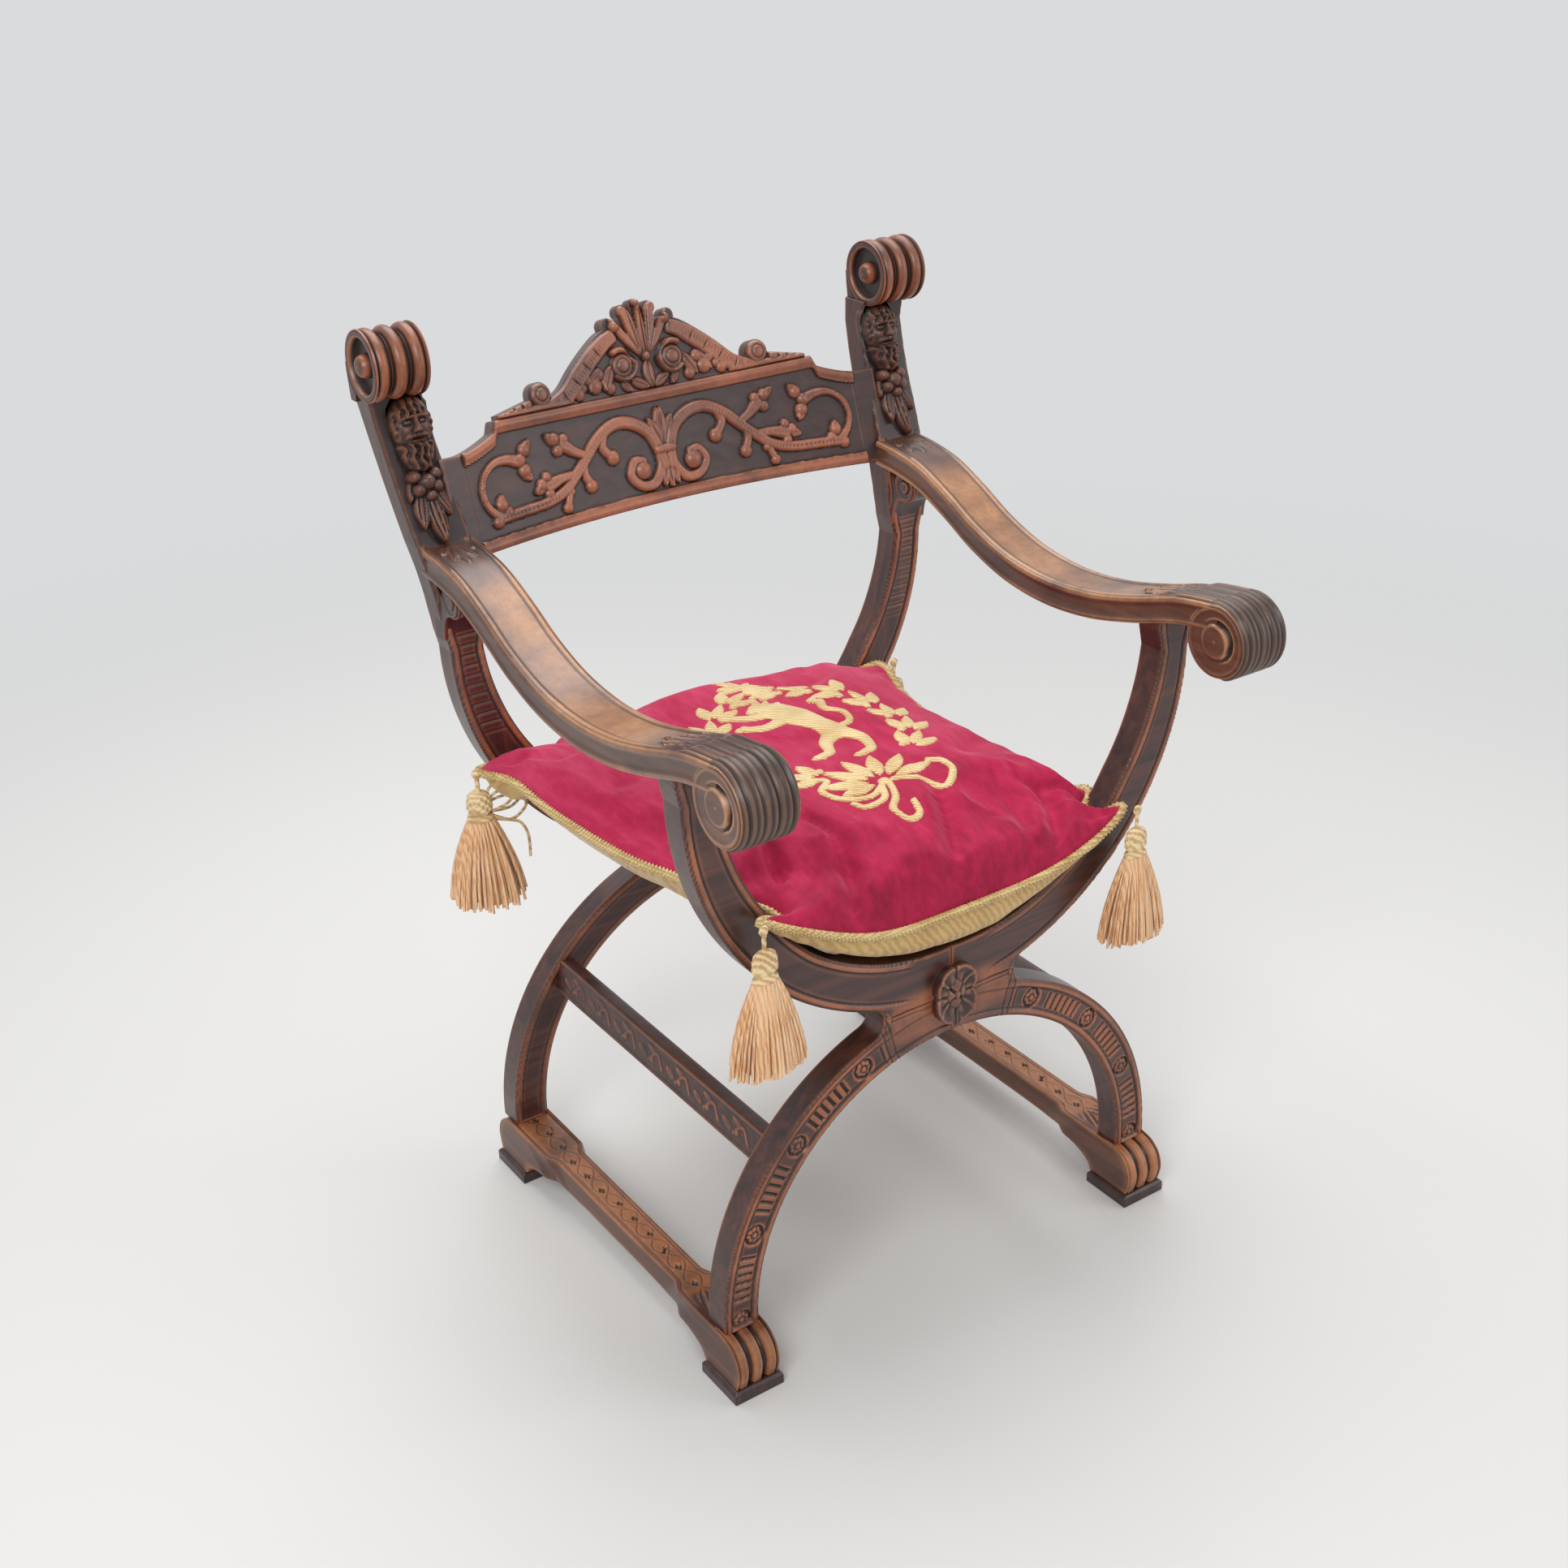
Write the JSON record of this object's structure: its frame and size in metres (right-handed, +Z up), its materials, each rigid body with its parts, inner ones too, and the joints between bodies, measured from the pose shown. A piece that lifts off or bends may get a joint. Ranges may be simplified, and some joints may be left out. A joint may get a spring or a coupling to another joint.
{
  "type": "carved armchair",
  "caption": "Fixed X-frame armchair in carved walnut with scrolled arms and posts, a curved back panel with crest, a slatted seat and a loose tasselled velvet cushion.",
  "frame": {"origin": "Middle of the chair's bounding box on the floor plane under the foot pads.", "axes": "+Z is up, -Y is the way the sitter faces, +X is the side seen on the right from the front."},
  "size_m": [0.656, 0.656, 0.949],
  "materials": {
    "walnut": "dark reddish walnut, waxed, worn to orange-brown on the edges",
    "plain_wood": "unpolished beech-like secondary wood",
    "velvet": "crimson velvet with gold embroidery and cord",
    "tassel_thread": "pale gold silk thread",
    "steel": "dull slotted wood screws"
  },
  "bodies": {
    "frame": {"arm_bracket_left": "walnut", "arm_bracket_right": "walnut", "arm_dowels": "plain_wood", "arm_left": "walnut", "arm_right": "walnut", "back_foot_pad_left": "walnut", "back_foot_pad_right": "walnut", "back_leg_left": "walnut", "back_leg_right": "walnut", "back_panel": "walnut", "back_post_left": "walnut", "back_post_right": "walnut", "back_seat_cleat": "plain_wood", "crest": "walnut", "front_bowl_left": "walnut", "front_bowl_right": "walnut", "front_foot_pad_left": "walnut", "front_foot_pad_right": "walnut", "front_leg_left": "walnut", "front_leg_right": "walnut", "front_rosette": "walnut", "front_seat_cleat": "plain_wood", "runner_left": "walnut", "runner_right": "walnut", "seat_screws": "steel", "seat_slat_1": "plain_wood", "seat_slat_2": "plain_wood", "seat_slat_3": "plain_wood", "seat_slat_4": "plain_wood", "seat_slat_5": "plain_wood", "seat_slat_6": "plain_wood", "seat_slat_7": "plain_wood", "seat_slat_8": "plain_wood", "seat_slat_9": "plain_wood", "stretcher_left": "walnut", "stretcher_right": "walnut"},
    "cushion": {"cushion": "velvet"},
    "tassel_back_left_body": {"tassel_back_left": "tassel_thread"},
    "tassel_back_right_body": {"tassel_back_right": "tassel_thread"},
    "tassel_front_left_body": {"tassel_front_left": "tassel_thread"},
    "tassel_front_right_body": {"tassel_front_right": "tassel_thread"}
  },
  "joints": [
    {"name": "cushion_lift", "type": "slide", "parent": "frame", "child": "cushion", "axis": [0, 0, 1], "range_m": [0, 0.06]},
    {"name": "tassel_back_left_swing", "type": "hinge", "parent": "cushion", "child": "tassel_back_left_body", "pos_m": [-0.28692, 0.186, 0.51163], "axis": [0, 1, 0], "range_deg": [0, 35]},
    {"name": "tassel_back_right_swing", "type": "hinge", "parent": "cushion", "child": "tassel_back_right_body", "pos_m": [0.23256, 0.176, 0.49942], "axis": [0, -1, 0], "range_deg": [0, 35]},
    {"name": "tassel_front_left_swing", "type": "hinge", "parent": "cushion", "child": "tassel_front_left_body", "pos_m": [-0.23201, -0.2454, 0.514], "axis": [-1, 0, 0], "range_deg": [0, 35]},
    {"name": "tassel_front_right_swing", "type": "hinge", "parent": "cushion", "child": "tassel_front_right_body", "pos_m": [0.20704, -0.2454, 0.49299], "axis": [-1, 0, 0], "range_deg": [0, 35]}
  ]
}
